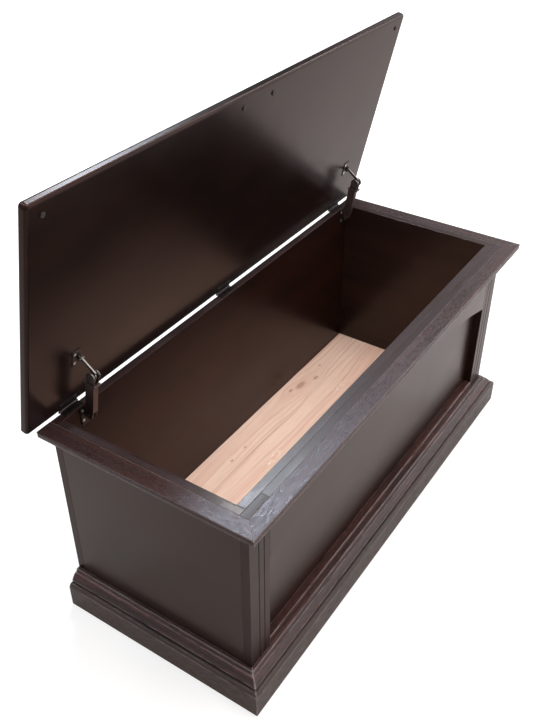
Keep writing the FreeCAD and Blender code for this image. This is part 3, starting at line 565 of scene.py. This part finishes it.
CEDAR = {"pale": (0.925, 0.705, 0.570, 1), "band": (0.790, 0.490, 0.385, 1),
         "ring": (0.600, 0.355, 0.255, 1), "knot": (0.370, 0.185, 0.105, 1),
         "edge": (0.980, 0.860, 0.720, 1)}
PINE = {"pale": (0.840, 0.700, 0.480, 1), "band": (0.760, 0.590, 0.370, 1),
        "ring": (0.600, 0.410, 0.220, 1), "edge": (0.930, 0.840, 0.660, 1)}
CEDAR_BOARDS = 5
STAINED_STEP = (0.73, 0.37, 0.19)    # metres from one piece's grain to the next one's
CEDAR_STEP = (0.61, 0.43, 0.0)
# centre in metres, and one over the reach along and across the board
BACK_BOARD_KNOTS = (((-0.093, 0.159, 0.077), (140, 240, 0)),
                    ((-0.034, 0.160, 0.077), (150, 300, 0)),
                    ((0.224, 0.188, 0.077), (95, 170, 0)),
                    ((0.259, 0.178, 0.077), (38, 92, 0)),
                    ((0.368, 0.182, 0.077), (140, 260, 0)),
                    ((0.312, 0.161, 0.077), (70, 150, 0)))
BACK_BOARD_SWIRLS = (((0.250, 0.178, 0.077), (20, 60, 0)),)
TORN_PATCHES = (((-0.030, 0.080, 0.077), (22, 80, 0)), ((0.316, 0.086, 0.077), (26, 80, 0)))

for number, (node, (along, look)) in enumerate(WOOD.items()):
    slide = tuple(step * number for step in STAINED_STEP)
    finish_node(node, stained_wood("espresso_" + node, along, slide, look))
for number in range(1, CEDAR_BOARDS + 1):
    slide = tuple(step * number for step in CEDAR_STEP)
    at_back = number == CEDAR_BOARDS
    finish_node("floor_board_%d" % number,
                planed_board("cedar_board_%d" % number, "x", slide, CEDAR,
                             BACK_BOARD_KNOTS if at_back else (), BACK_BOARD_SWIRLS if at_back else (),
                             TORN_PATCHES if number == CEDAR_BOARDS - 1 else ()))
for along, places in (("x", ("front", "back")), ("y", ("left", "right"))):
    cleat_pine = planed_board("cleat_pine_" + along, along, (0, 0, 0), PINE)
    for where in places:
        finish_node("floor_cleat_" + where, cleat_pine)
hinge_bronze = metal("hinge_bronze", (0.060, 0.050, 0.048), 0.30)
support_bronze = metal("support_bronze", (0.170, 0.128, 0.120), 0.42)
plate_black = metal("blackened_plate", (0.075, 0.068, 0.062), 0.36)
dark_nickel = metal("dark_nickel", (0.200, 0.190, 0.180), 0.32)
zinc = metal("zinc_plate", (0.26, 0.25, 0.24), 0.34)
bright = metal("bright_screw", (0.92, 0.88, 0.78), 0.42)
for name in nodes:
    if name.startswith("hinge_"):
        finish_node(name, hinge_bronze)
    elif "screws" in name:
        finish_node(name, bright)
    elif name.endswith(("_link", "_lid_rivet")):
        finish_node(name, zinc)
    elif name.endswith(("_base_bracket", "_lid_bracket")):
        finish_node(name, plate_black)
    elif name.endswith(("_elbow_rivet", "_spring")):
        finish_node(name, dark_nickel)
    elif name.startswith("support_"):
        finish_node(name, support_bronze)
finish_node("lid_bumpers", rubber("bumper_rubber"))


# ---- floor, light and camera ----------------------------------------------------------------
def add_floor():
    """A wide pale floor that looks white to the eye and pale to gloss, and keeps the shadow; in gloss its
    glow is a painted reflection, warm, and darker near the plinth and on the left as painted shadow.
    """
    deselect_all()
    bpy.ops.mesh.primitive_plane_add(size=FLOOR_SIZE, location=(0, 0, -FLOOR_DROP))
    floor = bpy.context.object
    floor.name = "studio_floor"
    made, tree, skin = new_material("floor_paper")
    skin.inputs["Base Color"].default_value = FLOOR_SHADE
    skin.inputs["Roughness"].default_value = FLOOR_ROUGH
    skin.inputs["Specular IOR Level"].default_value = 0.0
    place = object_place(tree)
    to_eye = span_of(tree, vector_of(tree, "LENGTH", place, output="Value"), *LIFT_SPAN, LIFT_NEAR, LIFT_FAR)
    parts = parts_of(tree, place)
    past_end, past_face = (
        sum_of(tree, "MAXIMUM", 0.0, sum_of(tree, "SUBTRACT", sum_of(tree, "ABSOLUTE", parts[axis]), half))
        for axis, half in (("X", HALF_LENGTH), ("Y", HALF_DEPTH)))
    clear = sum_of(tree, "SQRT", sum_of(tree, "MULTIPLY_ADD", past_end, past_end,
                                        times(tree, past_face, past_face)))
    # painted shadow of the chest in the floor's reflections, lower near the plinth and on the left
    gloss_with_painted_shadow = times(tree, span_of(tree, clear, *GLOSS_SPAN, SHADOWED_GLOSS_NEAR, GLOSS_FAR),
                     span_of(tree, parts["X"], *LEFT_SPAN, 1.0, SHADOWED_GLOSS_LEFT))
    # painted reflection tint, warm near the chest and warmer further out
    painted_reflection_tint = blend_of(tree, span_of(tree, clear, *WARM_SPAN), PAINTED_REFLECTION_NEAR, PAINTED_REFLECTION_FAR)
    path = tree.nodes.new("ShaderNodeLightPath").outputs
    gloss = sum_of(tree, "MAXIMUM", path["Is Glossy Ray"], path["Is Transmission Ray"])
    lift = sum_of(tree, "MULTIPLY_ADD", path["Is Camera Ray"], to_eye, times(tree, gloss, gloss_with_painted_shadow))
    joined(tree, blend_of(tree, gloss, WHITE_SHADE, painted_reflection_tint), skin.inputs["Emission Color"])
    joined(tree, lift, skin.inputs["Emission Strength"])
    floor.data.materials.append(made)


def add_world():
    """White to the eye; to the chest, the dim air, pale ceiling and bright sides of a room."""
    world = bpy.data.worlds.new("studio_air")
    bpy.context.scene.world = world
    world.use_nodes = True
    tree = world.node_tree
    air = tree.nodes["Background"]
    way = parts_of(tree, tree.nodes.new("ShaderNodeTexCoord").outputs["Generated"])
    overhead = span_of(tree, way["Z"], *CEILING_SPAN, 0.0, CEILING)
    left = span_of(tree, way["X"], *SIDE_SPAN, 0.0, SIDE_AIR)
    low = times(tree, span_of(tree, way["Z"], *LOW_SPAN), span_of(tree, way["Y"], *FRONT_SPAN))
    right_low = times(tree, low, span_of(tree, way["X"], *RIGHT_SPAN, 0.0, LOW_AIR))
    strength = sum_of(tree, "ADD", sum_of(tree, "ADD", overhead, left),
                      sum_of(tree, "ADD", right_low, AIR_DIM))
    seen = tree.nodes.new("ShaderNodeLightPath").outputs["Is Camera Ray"]
    air.inputs["Color"].default_value = WHITE_SHADE
    joined(tree, sum_of(tree, "MAXIMUM", strength, seen), air.inputs["Strength"])


def add_softbox(name, place, target, size, watts, colour):
    """A soft lamp aimed at a point."""
    data = bpy.data.lights.new(name, "AREA")
    data.shape = "RECTANGLE"
    data.size, data.size_y = size
    data.energy = watts
    data.color = colour
    lamp = bpy.data.objects.new(name, data)
    bpy.context.scene.collection.objects.link(lamp)
    lamp.location = place
    lamp.rotation_euler = (Vector(target) - Vector(place)).to_track_quat("-Z", "Y").to_euler()


def add_camera():
    data = bpy.data.cameras.new("eye")
    camera = bpy.data.objects.new("eye", data)
    bpy.context.scene.collection.objects.link(camera)
    camera.location = EYE
    camera.rotation_euler = (math.radians(90 - DIP), 0, math.radians(-HEADING))
    data.sensor_fit = "AUTO"
    data.sensor_width = SENSOR
    data.lens = SENSOR * FOCAL_PIXELS / IMAGE_HEIGHT
    data.shift_x = (IMAGE_WIDTH / 2 - CENTRE_PIXEL[0]) / IMAGE_HEIGHT
    data.shift_y = (CENTRE_PIXEL[1] - IMAGE_HEIGHT / 2) / IMAGE_HEIGHT
    bpy.context.scene.camera = camera


add_floor()
add_world()
for name, settings in LAMPS.items():
    add_softbox(name, *settings)
add_camera()
bpy.context.scene.view_settings.view_transform = "Standard"
